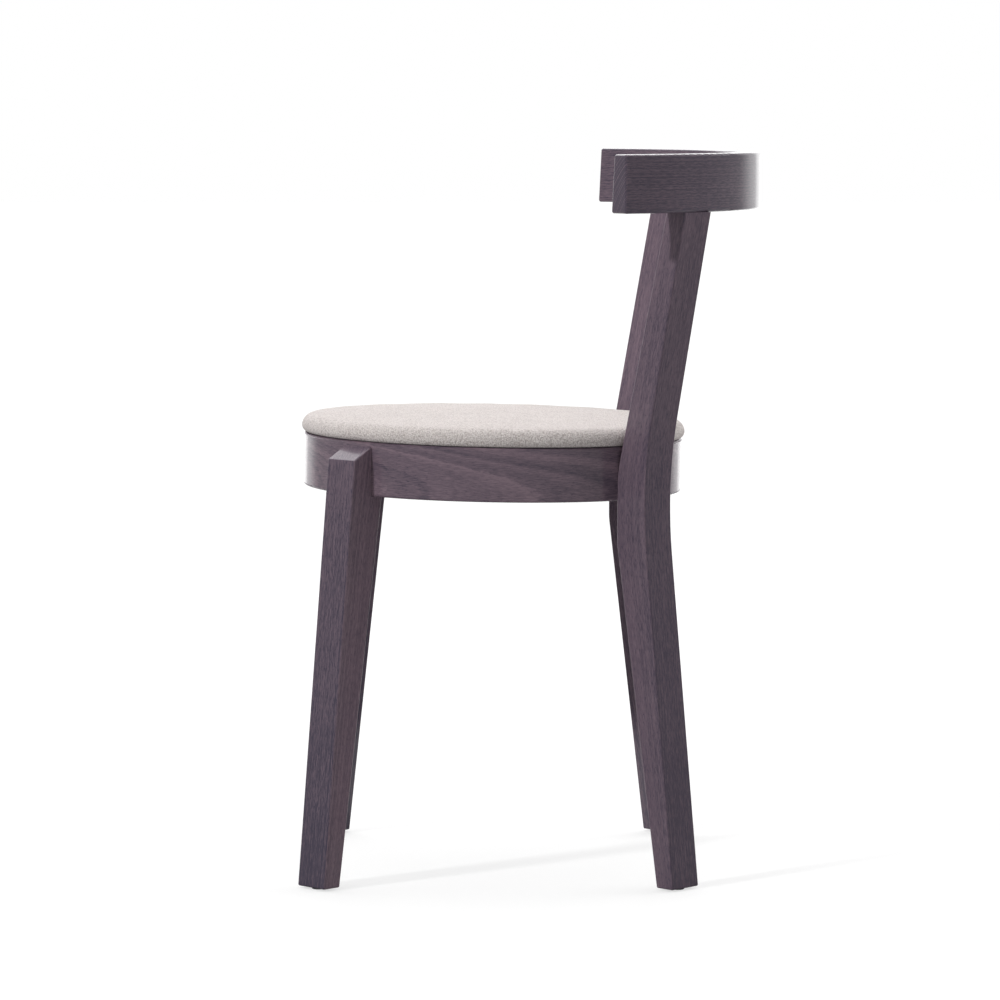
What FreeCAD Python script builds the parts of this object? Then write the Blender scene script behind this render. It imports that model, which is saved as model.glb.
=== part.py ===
import FreeCAD, Part
import math
import os

# Side chair: a bent seat ring on four splayed legs, a bent backrest band on the rear posts, and a round pad.
# Millimetres. Z is up, the sitter faces -Y and the sitter's left is +X. The floor is Z = 0.
# Each leg lies in an upright plane through the middle of the four feet, and is drawn there as (r, z).
# The seat is drawn level about the ring's own centre, from the ring's underside, then leaned back.

# Seat ring
RING_R = 200.0
RING_WALL = 20.0
RING_H = 56.0
RING_Z = 400.6
RING_TILT = 1.1
RING_FORWARD = 3.0
RING_EDGE = 2.5

# What all four legs share
LEG_W = 40.0
LEG_EDGE = 1.8
LEG_AZIMUTH = 45.0
GLUE_GAP = 0.1

# Front legs
FRONT_FOOT_R = 269.3
FRONT_FOOT_D = 22.4
FRONT_STAND = 26.1
FRONT_SHOULDER = 17.0
FRONT_TOP_DROP = 5.6
FRONT_BEVEL = 29.5

# Rear legs and back posts
REAR_FOOT_R = 276.2
REAR_FOOT_D = 22.7
REAR_STAND = 32.3
REAR_KNEE_UP = 18.0
REAR_KNEE_ROUND = 450.0
REAR_HOUSING = 1.5
REAR_SEAT_DOWN = 45.0
REAR_SEAT_ROUND = 60.0
REAR_TOP_R = 290.3
REAR_TOP_D = 25.6
POST_GAP = 5.5
POST_ROUND = 120.0

# Backrest band
BAND_R = 322.0
BAND_Z = 696.3
BAND_H = 59.2
BAND_T_BOTTOM = 27.0
BAND_T_TOP = 21.5
BAND_HALF_ANGLE = 57.8
BAND_EDGE = 2.5

# Pad, measured from the top of the ring
PAD_OVERHANG = 3.0
PAD_WIDEST = 6.5
PAD_SHOULDER = 13.8
PAD_CROWN = 23.8
COVER_T = 1.2
EDGE_FOAM = 2.5
HEM_W = 26.0
BOARD_T = 10.0
LINING_T = 0.8
LINING_GAP = 0.6

# Staples
STAPLE_COUNT = 24
STAPLE_W = 10.0
STAPLE_WIRE = 0.7
STAPLE_LEG = 6.0

# Cleats inside the ring, and their screws
CLEAT_W = 72.0
CLEAT_INSIDE = 11.0
CLEAT_H = 24.0
CLEAT_DROP = 1.0
CLEAT_SCREW_D = 4.0
CLEAT_SCREW_HEAD = 8.0
CLEAT_SCREW_SPAN = 46.0
CLEAT_SCREW_BITE = 11.0
CLEAT_SCREW_BELOW = 8.0

# Seat screws and tee nuts
SEAT_SCREW_D = 6.0
SEAT_SCREW_HEAD_D = 11.0
SEAT_SCREW_HEAD_H = 4.0
SEAT_SCREW_INSET = 7.0
TEE_BARREL_D = 8.0
TEE_FLANGE_D = 19.0
TEE_FLANGE_T = 1.4
HOLE_CLEARANCE = 0.4

# Leg bolts, washers and inserts
BOLT_D = 6.0
BOLT_HEAD_D = 10.5
BOLT_HEAD_H = 4.5
BOLT_KEY = 4.0
BOLT_SHARES = (0.23, 0.55)
BOLT_BITE = 11.0
WASHER_D = 15.0
WASHER_T = 1.5
SPOT_FACE = 1.2
INSERT_D = 10.0
INSERT_L = 13.0

# Dowels between the posts and the band
DOWEL_D = 8.0
DOWEL_L = 36.0
DOWEL_SPAN = 18.0

# Foot glides
GLIDE_D = 14.0
GLIDE_T = 2.0
GLIDE_PIN_D = 4.0
GLIDE_PIN_L = 16.0

V = FreeCAD.Vector
UP = V(0, 0, 1)
AZIMUTH = math.radians(LEG_AZIMUTH)
TILT = math.radians(RING_TILT)
SEAT = FreeCAD.Placement(V(0, -RING_FORWARD, RING_Z), FreeCAD.Rotation(V(1, 0, 0), -RING_TILT))
PAD_R = RING_R + PAD_OVERHANG
RING_INSIDE = RING_R - RING_WALL
BOARD_R = PAD_R - PAD_WIDEST - EDGE_FOAM
HEM_R = BOARD_R - HEM_W
SCREW_R = HEM_R - SEAT_SCREW_INSET
CLEAT_R = SCREW_R - CLEAT_INSIDE
CLEAT_BOTTOM = RING_H - CLEAT_DROP - CLEAT_H
BOARD_BOTTOM = RING_H + COVER_T
BOLT_HEIGHTS = [RING_H * share for share in BOLT_SHARES]
SIDES = ("left", "right")
ENDS = {"front": -1, "rear": 1}


def in_seat(shape):
    """A shape drawn level about the ring, set at the ring's height and lean."""
    placed = shape.copy()
    placed.Placement = SEAT.multiply(placed.Placement)
    return placed


def turned(shape, angle):
    """A copy turned about the upright axis, in degrees."""
    copy = shape.copy()
    copy.rotate(V(0, 0, 0), UP, angle)
    return copy


def leg_angle(side, end):
    """The azimuth of a leg's plane, in degrees from +X."""
    along = LEG_AZIMUTH * ENDS[end]
    return along if side == "left" else 180 - along


def ring_face(end):
    """How far the ring's outer surface lies from the middle of the feet, along a leg's plane."""
    across = RING_FORWARD * math.cos(AZIMUTH)
    return math.sqrt(RING_R ** 2 - across ** 2) - ENDS[end] * RING_FORWARD * math.sin(AZIMUTH)


def ring_bottom(end):
    """Height of the ring's underside where a leg meets it."""
    behind_centre = ENDS[end] * RING_R * math.sin(AZIMUTH)
    return RING_Z - behind_centre * math.sin(TILT)


def point(r, z):
    return V(r, 0, z)


def meet(a, b, c, d):
    """Where the line a-b crosses the line c-d, all in one leg's plane."""
    ab = b - a
    cd = d - c
    share = ((c.x - a.x) * cd.z - (c.z - a.z) * cd.x) / (ab.x * cd.z - ab.z * cd.x)
    return a + ab * share


def outline(corners):
    """A closed wire through (point, rounding) corners; a rounding of 0 leaves the corner sharp."""
    count = len(corners)
    starts = []
    ends = []
    arcs = []
    for i, (corner, radius) in enumerate(corners):
        back = (corners[i - 1][0] - corner).normalize()
        ahead = (corners[(i + 1) % count][0] - corner).normalize()
        if radius == 0:
            starts.append(corner)
            ends.append(corner)
            arcs.append(None)
            continue
        half = back.getAngle(ahead) / 2
        reach = radius / math.tan(half)
        middle = (back + ahead).normalize()
        inner = corner + middle * (radius / math.sin(half) - radius)
        starts.append(corner + back * reach)
        ends.append(corner + ahead * reach)
        arcs.append(Part.Arc(starts[i], inner, ends[i]).toShape())
    edges = []
    for i in range(count):
        if arcs[i]:
            edges.append(arcs[i])
        edges.append(Part.makeLine(ends[i], starts[(i + 1) % count]))
    return Part.Wire(edges)


def slab(corners):
    """A leg blank: the outline in the leg's plane, LEG_W thick."""
    face = Part.Face(outline(corners))
    face.translate(V(0, -LEG_W / 2, 0))
    return face.extrude(V(0, LEG_W, 0))


def softened(blank, keep_sharp):
    """The blank with its arrises rounded, except the edges that keep_sharp picks by their middle."""
    edges = []
    for edge in blank.Edges:
        middle = edge.valueAt((edge.FirstParameter + edge.LastParameter) / 2)
        if not keep_sharp(middle):
            edges.append(edge)
    return blank.makeFillet(LEG_EDGE, edges)


def ring_room():
    """The space that the ring and the pad take up, which the legs are cut back to."""
    room = Part.makeCylinder(RING_R + GLUE_GAP, RING_H + PAD_CROWN)
    return in_seat(room)


def front_leg_blank():
    face = ring_face("front")
    bottom = ring_bottom("front")
    slope = math.tan(math.radians(FRONT_BEVEL))
    foot_out = point(FRONT_FOOT_R, GLIDE_T)
    foot_in = point(FRONT_FOOT_R - FRONT_FOOT_D, GLIDE_T)
    stand = point(face + FRONT_STAND, bottom)
    bevel_top = point(face, bottom + RING_H - FRONT_TOP_DROP)
    bevel_end = bevel_top + point(-FRONT_SHOULDER, FRONT_SHOULDER * slope)
    bevel_low = meet(foot_out, stand, bevel_top, bevel_end)
    shoulder = point(face - FRONT_SHOULDER, bottom)
    corners = [(foot_out, 0), (bevel_low, 0), (bevel_end, 0), (shoulder, 0), (foot_in, 0)]

    def inside(middle):
        across = abs(middle.y) < LEG_W / 2 - 1
        foot = middle.z < GLIDE_T + 1
        upper = middle.z > bottom - 1 and middle.x < face
        sunk = middle.z > bottom + 1 and middle.x < face - FRONT_SHOULDER / 2
        low_bevel = abs(middle.z - bevel_low.z) < 1
        return (across and not foot and not low_bevel) or (across and upper) or sunk

    return softened(slab(corners), inside)


def rear_leg_blank():
    face = ring_face("rear")
    bottom = ring_bottom("rear")
    seat = face - REAR_HOUSING
    foot_out = point(REAR_FOOT_R, GLIDE_T)
    foot_in = point(REAR_FOOT_R - REAR_FOOT_D, GLIDE_T)
    knee = point(face + REAR_STAND, bottom + REAR_KNEE_UP)
    top_out = point(REAR_TOP_R, BAND_Z)
    top_in = point(REAR_TOP_R - REAR_TOP_D, BAND_Z)
    seat_low = point(seat, bottom - REAR_SEAT_DOWN)
    post_low = meet(seat_low, point(seat, bottom), top_in, point(face + POST_GAP, bottom + RING_H))
    corners = [(foot_out, 0), (knee, REAR_KNEE_ROUND), (top_out, 0), (top_in, 0)]
    corners += [(post_low, POST_ROUND), (seat_low, REAR_SEAT_ROUND), (foot_in, 0)]

    def joint(middle):
        across = abs(middle.y) < LEG_W / 2 - 1
        foot = middle.z < GLIDE_T + 1
        top = middle.z > BAND_Z - 1
        return top or (across and not foot)

    return softened(slab(corners), joint)


def bolt_line(side, end, height):
    """Start and direction of one leg bolt in the seat's own frame: on the ring's outer face, outwards."""
    angle = math.radians(leg_angle(side, end))
    outward = V(math.cos(angle), math.sin(angle), 0)
    start = V(0, RING_FORWARD, height) + outward * ring_face(end)
    return start, outward


def all_bolt_lines():
    return [
        bolt_line(side, end, height)
        for side in SIDES
        for end in ENDS
        for height in BOLT_HEIGHTS
    ]


def foot_middle(end):
    """Distance of a foot's middle from the middle of the feet."""
    if end == "front":
        return FRONT_FOOT_R - FRONT_FOOT_D / 2
    return REAR_FOOT_R - REAR_FOOT_D / 2


def make_leg(side, end):
    blank = front_leg_blank() if end == "front" else rear_leg_blank()
    leg = turned(blank, leg_angle(side, end)).cut(ring_room())
    holes = []
    for height in BOLT_HEIGHTS:
        start, outward = bolt_line(side, end, height)
        hole = Part.makeCylinder(INSERT_D / 2, INSERT_L + 2, start - outward, outward)
        holes.append(in_seat(hole))
    pin = Part.makeCylinder(GLIDE_PIN_D / 2, GLIDE_PIN_L, point(foot_middle(end), GLIDE_T))
    holes.append(turned(pin, leg_angle(side, end)))
    if end == "rear":
        holes += dowel_shapes(side)
    return leg.cut(holes)


def make_glide(side, end):
    middle = foot_middle(end)
    disc = Part.makeCylinder(GLIDE_D / 2, GLIDE_T, point(middle, 0))
    rim = [edge for edge in disc.Edges if edge.Closed and edge.BoundBox.ZMax < GLIDE_T / 2]
    disc = disc.makeFillet(GLIDE_T / 2, rim)
    pin = Part.makeCylinder(GLIDE_PIN_D / 2, GLIDE_PIN_L, point(middle, GLIDE_T))
    return turned(disc.fuse(pin).removeSplitter(), leg_angle(side, end))


def post_top():
    """Middle of a post's top, as a distance from the middle of the feet."""
    return REAR_TOP_R - REAR_TOP_D / 2


def band_centre():
    """Y of the band's centre, which puts the middle of its underside over the post tops."""
    across = post_top() * math.cos(AZIMUTH)
    middle_r = BAND_R - BAND_T_BOTTOM / 2
    return post_top() * math.sin(AZIMUTH) - math.sqrt(middle_r ** 2 - across ** 2)


def dowel_shapes(side):
    dowels = []
    for shift in (-DOWEL_SPAN / 2, DOWEL_SPAN / 2):
        base = V(post_top(), shift, BAND_Z - DOWEL_L / 2)
        dowels.append(turned(Part.makeCylinder(DOWEL_D / 2, DOWEL_L, base), leg_angle(side, "rear")))
    return dowels


def make_band():
    low = BAND_Z
    high = BAND_Z + BAND_H
    corners = [
        V(BAND_R - BAND_T_BOTTOM, 0, low),
        V(BAND_R, 0, low),
        V(BAND_R, 0, high),
        V(BAND_R - BAND_T_TOP, 0, high),
    ]
    section = Part.Face(Part.makePolygon(corners + corners[:1]))
    section.rotate(V(0, 0, 0), UP, 90 - BAND_HALF_ANGLE)
    band = section.revolve(V(0, 0, 0), UP, 2 * BAND_HALF_ANGLE)
    band = band.makeFillet(BAND_EDGE, band.Edges)
    band.translate(V(0, band_centre(), 0))
    return band.cut(dowel_shapes("left") + dowel_shapes("right"))


def pad_profile(inset):
    """Outer line of the pad in (r, z), drawn in by inset, from under its rim up and over to its middle."""
    top = RING_H
    low_middle = point(PAD_R - PAD_WIDEST, top + PAD_WIDEST)
    side_middle = point(PAD_R - PAD_SHOULDER, top + PAD_WIDEST)
    rise = PAD_CROWN - PAD_WIDEST
    crown_r = (side_middle.x ** 2 + rise ** 2 - PAD_SHOULDER ** 2) / (2 * (rise - PAD_SHOULDER))
    crown_middle = point(0, top + PAD_CROWN - crown_r)
    toward = (side_middle - crown_middle).normalize()
    low_r = PAD_WIDEST - inset
    side_r = PAD_SHOULDER - inset
    start = low_middle - UP * low_r
    widest = low_middle + point(low_r, 0)
    shoulder = side_middle + toward * side_r
    peak = point(0, top + PAD_CROWN - inset)
    low_bend = low_middle + point(low_r, -low_r) * math.sqrt(0.5)
    side_bend = side_middle + (point(1, 0) + toward).normalize() * side_r
    crown_bend = crown_middle + (UP + toward).normalize() * (crown_r - inset)
    return [
        Part.Arc(start, low_bend, widest).toShape(),
        Part.Arc(widest, side_bend, shoulder).toShape(),
        Part.Arc(shoulder, crown_bend, peak).toShape(),
    ]


def lathe(edges, points):
    """Solid of revolution: the edges, then straight lines on through the points and back to the start."""
    first = edges[0].valueAt(edges[0].FirstParameter)
    last = edges[-1].valueAt(edges[-1].LastParameter)
    lines = []
    for target in points + [first]:
        lines.append(Part.makeLine(last, target))
        last = target
    return Part.Face(Part.Wire(edges + lines)).revolve(V(0, 0, 0), UP, 360)


def make_staples():
    """Level staples, crown under the hem and legs up into the board."""
    top = RING_H
    r = HEM_R + HEM_W / 3
    wire = STAPLE_WIRE
    crown = Part.makeBox(wire, STAPLE_W, wire, V(r - wire / 2, -STAPLE_W / 2, top - wire))
    legs = []
    for y in (-STAPLE_W / 2, STAPLE_W / 2 - wire):
        legs.append(Part.makeBox(wire, wire, COVER_T + STAPLE_LEG, V(r - wire / 2, y, top)))
    staple = crown.fuse(legs).removeSplitter()
    step = 360 / STAPLE_COUNT
    return [turned(staple, (i + 0.5) * step) for i in range(STAPLE_COUNT)]


def quarters(shape):
    """Four copies of a shape, one for each cleat."""
    return [turned(shape, angle) for angle in (0, 90, 180, 270)]


def tee_nut_blank():
    """Tee nut without its bore."""
    barrel = Part.makeCylinder(TEE_BARREL_D / 2, BOARD_T, point(SCREW_R, BOARD_BOTTOM))
    flange_z = BOARD_BOTTOM + BOARD_T - TEE_FLANGE_T
    flange = Part.makeCylinder(TEE_FLANGE_D / 2, TEE_FLANGE_T, point(SCREW_R, flange_z))
    return barrel.fuse(flange).removeSplitter()


def seat_screw():
    length = BOARD_BOTTOM + BOARD_T - TEE_FLANGE_T - CLEAT_BOTTOM
    shank = Part.makeCylinder(SEAT_SCREW_D / 2, length, point(SCREW_R, CLEAT_BOTTOM))
    head_base = point(SCREW_R, CLEAT_BOTTOM - SEAT_SCREW_HEAD_H)
    head = Part.makeCylinder(SEAT_SCREW_HEAD_D / 2, SEAT_SCREW_HEAD_H, head_base)
    rim = [edge for edge in head.Edges if edge.Closed and edge.BoundBox.ZMax < head_base.z + 1]
    head = head.makeFillet(SEAT_SCREW_HEAD_H * 0.6, rim)
    return shank.fuse(head).removeSplitter()


def screw_hole(height, z):
    """Room for a seat screw, from z upwards."""
    return Part.makeCylinder((SEAT_SCREW_D + HOLE_CLEARANCE) / 2, height, point(SCREW_R, z))


def cleat_screws():
    """The two wood screws of the cleat on the +X side, countersunk in its inner face."""
    z = CLEAT_BOTTOM + CLEAT_SCREW_BELOW
    screws = []
    for y in (-CLEAT_SCREW_SPAN / 2, CLEAT_SCREW_SPAN / 2):
        start = V(CLEAT_R, y, z)
        reach = math.sqrt(RING_INSIDE ** 2 - y ** 2) - CLEAT_R + CLEAT_SCREW_BITE
        taper = (CLEAT_SCREW_HEAD - CLEAT_SCREW_D) / 2
        head = Part.makeCone(CLEAT_SCREW_HEAD / 2, CLEAT_SCREW_D / 2, taper, start, V(1, 0, 0))
        shank = Part.makeCylinder(CLEAT_SCREW_D / 2, reach - taper, start + V(taper, 0, 0), V(1, 0, 0))
        screws.append(head.fuse(shank).removeSplitter())
    return screws


def make_cleat():
    """The cleat on the +X side, its outer face curved to the inside of the ring."""
    block = Part.makeBox(RING_WALL + RING_INSIDE, CLEAT_W, CLEAT_H, V(CLEAT_R, -CLEAT_W / 2, CLEAT_BOTTOM))
    room = Part.makeCylinder(RING_INSIDE - GLUE_GAP, RING_H)
    return block.common(room).cut([screw_hole(CLEAT_H, CLEAT_BOTTOM)] + cleat_screws())


def make_bolts():
    """Bolts with a washer each, in the ring from the inside, and the inserts that take them."""
    bolts = []
    washers = []
    inserts = []
    for start, outward in all_bolt_lines():
        inner = start - outward * (RING_WALL - SPOT_FACE)
        under_head = inner - outward * WASHER_T
        length = WASHER_T + RING_WALL - SPOT_FACE + BOLT_BITE
        shank = Part.makeCylinder(BOLT_D / 2, length, under_head, outward)
        head = Part.makeCylinder(BOLT_HEAD_D / 2, BOLT_HEAD_H, under_head, outward * -1)
        key = Part.makeCylinder(BOLT_KEY / 2, BOLT_HEAD_H * 0.6, under_head - outward * BOLT_HEAD_H, outward)
        bolts.append(shank.fuse(head).cut(key).removeSplitter())
        hole = Part.makeCylinder((BOLT_D + HOLE_CLEARANCE) / 2, WASHER_T, under_head, outward)
        washers.append(Part.makeCylinder(WASHER_D / 2, WASHER_T, under_head, outward).cut(hole))
        first = start + outward * GLUE_GAP
        bore = Part.makeCylinder(BOLT_D / 2, INSERT_L, first, outward)
        inserts.append(Part.makeCylinder(INSERT_D / 2, INSERT_L, first, outward).cut(bore))
    return bolts, washers, inserts


def make_ring():
    ring = Part.makeCylinder(RING_R, RING_H)
    ring = ring.makeFillet(RING_EDGE, [edge for edge in ring.Edges if edge.Closed and edge.Length > RING_R])
    ring = ring.cut(Part.makeCylinder(RING_INSIDE, RING_H))
    holes = []
    for start, outward in all_bolt_lines():
        inside = start - outward * (RING_WALL + 2)
        holes.append(Part.makeCylinder((BOLT_D + HOLE_CLEARANCE) / 2, RING_WALL + 4, inside, outward))
        holes.append(Part.makeCylinder(WASHER_D / 2 + HOLE_CLEARANCE, 2 + SPOT_FACE, inside, outward))
    for screw in cleat_screws():
        holes += quarters(screw)
    return ring.cut(holes)


def make_board():
    board = Part.makeCylinder(BOARD_R, BOARD_T, UP * BOARD_BOTTOM)
    return board.cut(quarters(tee_nut_blank()) + make_staples())


def make_foam():
    bottom = BOARD_BOTTOM
    points = [point(0, bottom + BOARD_T), point(BOARD_R, bottom + BOARD_T), point(BOARD_R, bottom)]
    return lathe(pad_profile(COVER_T), points)


def make_cover():
    outer = pad_profile(0)
    inner = pad_profile(COVER_T)
    peak = Part.makeLine(point(0, RING_H + PAD_CROWN), point(0, RING_H + PAD_CROWN - COVER_T))
    rim_r = PAD_R - PAD_WIDEST
    high = RING_H + COVER_T
    hem = [point(rim_r, high), point(HEM_R, high), point(HEM_R, RING_H), point(rim_r, RING_H)]
    lines = [Part.makeLine(hem[i], hem[i + 1]) for i in range(3)]
    face = Part.Face(Part.Wire(Part.__sortEdges__(outer + [peak] + inner + lines)))
    return face.revolve(V(0, 0, 0), UP, 360).cut(make_staples())


def make_lining():
    bottom = BOARD_BOTTOM - LINING_T
    lining = Part.makeCylinder(HEM_R - LINING_GAP, LINING_T, point(0, bottom))
    return lining.cut(quarters(screw_hole(LINING_T, bottom)))


def make_parts():
    """Every node by name, as a list of solids about the middle of the feet."""
    parts = {"backrest_band": [make_band()]}
    for end in ENDS:
        for side in SIDES:
            parts[f"{end}_leg_{side}"] = [make_leg(side, end)]
            parts[f"foot_glide_{end}_{side}"] = [make_glide(side, end)]
    parts["back_dowels"] = dowel_shapes("left") + dowel_shapes("right")
    bolts, washers, inserts = make_bolts()
    bore = Part.makeCylinder(SEAT_SCREW_D / 2, BOARD_T, point(SCREW_R, BOARD_BOTTOM))
    seat_parts = {
        "seat_ring": [make_ring()],
        "seat_board": [make_board()],
        "seat_foam": [make_foam()],
        "seat_cover": [make_cover()],
        "seat_lining": [make_lining()],
        "cover_staples": make_staples(),
        "cleat_screws": [copy for screw in cleat_screws() for copy in quarters(screw)],
        "seat_screws": quarters(seat_screw()),
        "seat_tee_nuts": quarters(tee_nut_blank().cut(bore)),
        "leg_bolts": bolts,
        "leg_washers": washers,
        "leg_inserts": inserts,
    }
    for place, cleat in zip(("left", "rear", "right", "front"), quarters(make_cleat())):
        seat_parts[f"seat_cleat_{place}"] = [cleat]
    for node, solids in seat_parts.items():
        parts[node] = [in_seat(solid) for solid in solids]
    return parts


def export(parts):
    """Centre the chair's overall box over the origin and write one file for each node."""
    os.makedirs("parts", exist_ok=True)
    whole = Part.makeCompound([solid for solids in parts.values() for solid in solids])
    box = whole.optimalBoundingBox(False)
    shift = V(0, -(box.YMin + box.YMax) / 2, 0)
    for node, solids in parts.items():
        shape = solids[0] if len(solids) == 1 else Part.makeCompound(solids)
        shape.translate(shift)
        shape.exportStep(f"parts/{node}.step")


export(make_parts())
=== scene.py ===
# %% [markdown]
# A wooden side chair with a round padded seat.
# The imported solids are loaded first, as a fixed frame in metres: +Z is up, the sitter faces -Y, and the
# sitter's left is +X. The wooden pieces keep their solid shapes and get a finish here. The pad, its lining
# and the small fasteners are made new, because cloth and screw heads need more form than plain solids have.

# %% Load the frame
import math

import bmesh
import bpy
from mathutils import Matrix, Vector


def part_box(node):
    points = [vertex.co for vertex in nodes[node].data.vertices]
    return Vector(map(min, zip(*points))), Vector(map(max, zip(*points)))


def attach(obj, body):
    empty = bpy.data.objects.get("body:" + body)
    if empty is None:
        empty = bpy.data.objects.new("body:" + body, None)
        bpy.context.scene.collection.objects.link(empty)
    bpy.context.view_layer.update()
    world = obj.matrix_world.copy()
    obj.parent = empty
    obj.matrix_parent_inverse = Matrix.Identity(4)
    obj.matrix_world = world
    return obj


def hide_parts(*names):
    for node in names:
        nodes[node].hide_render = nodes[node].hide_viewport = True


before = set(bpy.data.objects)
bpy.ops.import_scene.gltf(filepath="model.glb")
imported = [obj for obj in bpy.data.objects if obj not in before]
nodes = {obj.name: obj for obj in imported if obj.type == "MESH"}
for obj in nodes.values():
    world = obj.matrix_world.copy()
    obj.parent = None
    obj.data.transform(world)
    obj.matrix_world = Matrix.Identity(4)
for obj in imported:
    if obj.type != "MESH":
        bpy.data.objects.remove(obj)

scene = bpy.context.scene
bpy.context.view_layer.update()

# %% [markdown]
# The seat leans back by about one degree, so everything on it is drawn level about the seat's own middle
# and then placed by one matrix. The seat board is a plain disc, and the middle of its box is its own
# middle, which gives that matrix without any fitting. Height 0 in the seat's frame is the ring's top.

# %% The seat's own frame
SEAT_TILT = math.radians(1.1)
COVER_T = 0.0012
BOARD_T = 0.010

board_low, board_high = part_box("seat_board")
board_middle = (board_low + board_high) / 2
SEAT = (
    Matrix.Translation(board_middle)
    @ Matrix.Rotation(-SEAT_TILT, 4, "X")
    @ Matrix.Translation((0, 0, -COVER_T - BOARD_T / 2))
)
print("seat middle:", tuple(round(v, 4) for v in SEAT.translation))

# %% [markdown]
# The photograph is a side view from the sitter's left, from about five metres away and a little above the
# backrest. A long lens at that distance gives its nearly parallel lines.

# %% Camera
CAMERA_OUT = 4.8916
CAMERA_AHEAD = 0.0156
CAMERA_UP = 0.816
CAMERA_PITCH = math.radians(5.026)
CAMERA_YAW = math.radians(0.267)
LENS = 166.3

camera_data = bpy.data.cameras.new("camera")
camera_data.lens = LENS
camera_data.sensor_width = 36.0
camera = bpy.data.objects.new("camera", camera_data)
camera.location = (CAMERA_OUT, SEAT.translation.y - CAMERA_AHEAD, CAMERA_UP)
looking = Vector((
    -math.cos(CAMERA_YAW) * math.cos(CAMERA_PITCH),
    math.sin(CAMERA_YAW) * math.cos(CAMERA_PITCH),
    -math.sin(CAMERA_PITCH),
))
camera.rotation_euler = looking.to_track_quat("-Z", "Y").to_euler()
scene.collection.objects.link(camera)
scene.camera = camera
print("camera at", tuple(round(v, 3) for v in camera.location))

# %% [markdown]
# Shader maths reads best as sums. This small class holds one output socket of a node, so that an expression
# such as 1 - mask * 0.4 adds the Math nodes that it needs. Its method node() adds any other kind of node.

# %% Sums in a material
class Shade:
    """One output socket in a node tree, which can be used in sums."""

    def __init__(self, tree, socket=None):
        self.tree = tree
        self.socket = socket

    def node(self, kind, settings, sockets, out=0):
        """Adds a node of any kind, with its settings and the values or links of its sockets."""
        made = self.tree.nodes.new(kind)
        for name, value in settings.items():
            setattr(made, name, value)
        for name, value in sockets.items():
            if isinstance(value, Shade):
                self.tree.links.new(value.socket, made.inputs[name])
            else:
                made.inputs[name].default_value = value
        return Shade(self.tree, made.outputs[out])

    def math(self, operation, first, second=0.0, third=0.0):
        return self.node("ShaderNodeMath", {"operation": operation}, {0: first, 1: second, 2: third})

    def __add__(self, other):
        return self.math("ADD", self, other)

    def __radd__(self, other):
        return self.math("ADD", other, self)

    def __sub__(self, other):
        return self.math("SUBTRACT", self, other)

    def __rsub__(self, other):
        return self.math("SUBTRACT", other, self)

    def __mul__(self, other):
        return self.math("MULTIPLY", self, other)

    def __rmul__(self, other):
        return self.math("MULTIPLY", other, self)

    def __truediv__(self, other):
        return self.math("DIVIDE", self, other)

    def __pow__(self, other):
        return self.math("POWER", self, other)

    def sine(self):
        return self.math("SINE", self)

    def ramped(self, low, high):
        """0 below low, 1 above high, and smooth between."""
        settings = {"interpolation_type": "SMOOTHSTEP"}
        return self.node("ShaderNodeMapRange", settings, {"Value": self, "From Min": low, "From Max": high})

    def vector(self, x, y, z):
        return self.node("ShaderNodeCombineXYZ", {}, {0: x, 1: y, 2: z})

    def noise(self, place, detail=2.0, roughness=0.5):
        """Noise of about 0 to 1 at a vector that is already scaled."""
        sockets = {"Vector": place, "Scale": 1.0, "Detail": detail, "Roughness": roughness}
        return self.node("ShaderNodeTexNoise", {"noise_dimensions": "3D"}, sockets)

    def mixed(self, share, first, second):
        """Two colours mixed by a share."""
        return self.node("ShaderNodeMix", {"data_type": "RGBA"}, {0: share, 6: first, 7: second}, out=2)


def new_finish(name):
    """A material with only its output node and a Principled shader, and a Shade to build with."""
    material = bpy.data.materials.new(name)
    material.use_nodes = True
    tree = material.node_tree
    shader = next(node for node in tree.nodes if node.type == "BSDF_PRINCIPLED")
    return material, shader, Shade(tree)


def three_parts(shade, vector):
    """The three numbers of a vector."""
    split = shade.node("ShaderNodeSeparateXYZ", {}, {0: vector}).socket.node.outputs
    return [Shade(shade.tree, split[axis]) for axis in range(3)]


def object_place(shade):
    """X, Y and Z of a point, as three numbers."""
    return three_parts(shade, shade.node("ShaderNodeTexCoord", {}, {}, out="Object"))


def even_noise(shade, rate, detail, roughness=0.5):
    """Noise that is alike in every direction; rate is about how many grains there are in a metre."""
    x, y, z = object_place(shade)
    return shade.noise(shade.vector(x * rate, y * rate, z * rate), detail, roughness)


def rgb(red, green, blue):
    return (red, green, blue, 1.0)


def bump(shade, height, strength, distance):
    sockets = {"Strength": strength, "Distance": distance, "Height": height}
    return shade.node("ShaderNodeBump", {}, sockets)


def feed(shader, links, constants):
    """Link some of a shader's sockets to what a Shade works out, and set others to plain values."""
    for name, shade in links.items():
        shade.tree.links.new(shade.socket, shader.inputs[name])
    for name, value in constants.items():
        shader.inputs[name].default_value = value


print("shader helpers are ready")

# %% [markdown]
# The studio is white to the camera. As a light the world is much weaker, so that pale cloth keeps its
# colour. Reflections see white only towards the backdrop, which is on the far side from the camera, and a
# dim room elsewhere: a room that is white all round would lay a grey veil over the dark varnish.

# %% World
FILL = 0.30
ROOM_DIM = 0.20
BACKDROP_FROM = 0.66
BACKDROP_FULL = 0.86
NOT_ZERO = 0.0001


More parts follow.
